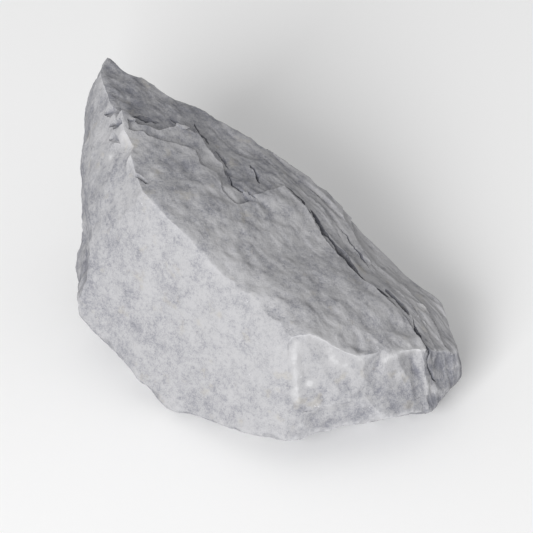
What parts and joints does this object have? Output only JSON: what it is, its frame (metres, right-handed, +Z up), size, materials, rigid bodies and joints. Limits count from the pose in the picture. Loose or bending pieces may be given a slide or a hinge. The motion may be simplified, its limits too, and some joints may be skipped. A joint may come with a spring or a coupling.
{
  "type": "shungite rock",
  "caption": "Wedge-shaped lump of crushed shungite with flat fracture faces, a stepped back edge and chipped edges, lying on its largest flat break.",
  "frame": {"origin": "on the flat break that the stone lies on, about a millimetre from the point straight below its centre of mass", "axes": "+Z up, away from the resting face; +X along the stone's longest extent, towards its blunt lower end; the smooth front face, which is parallel to the rock's layers, faces -X and -Y"},
  "size_m": [0.0392, 0.0353, 0.0251],
  "materials": {
    "shungite": "matte"
  },
  "bodies": {
    "root": {"shungite_stone": "shungite"}
  },
  "joints": []
}
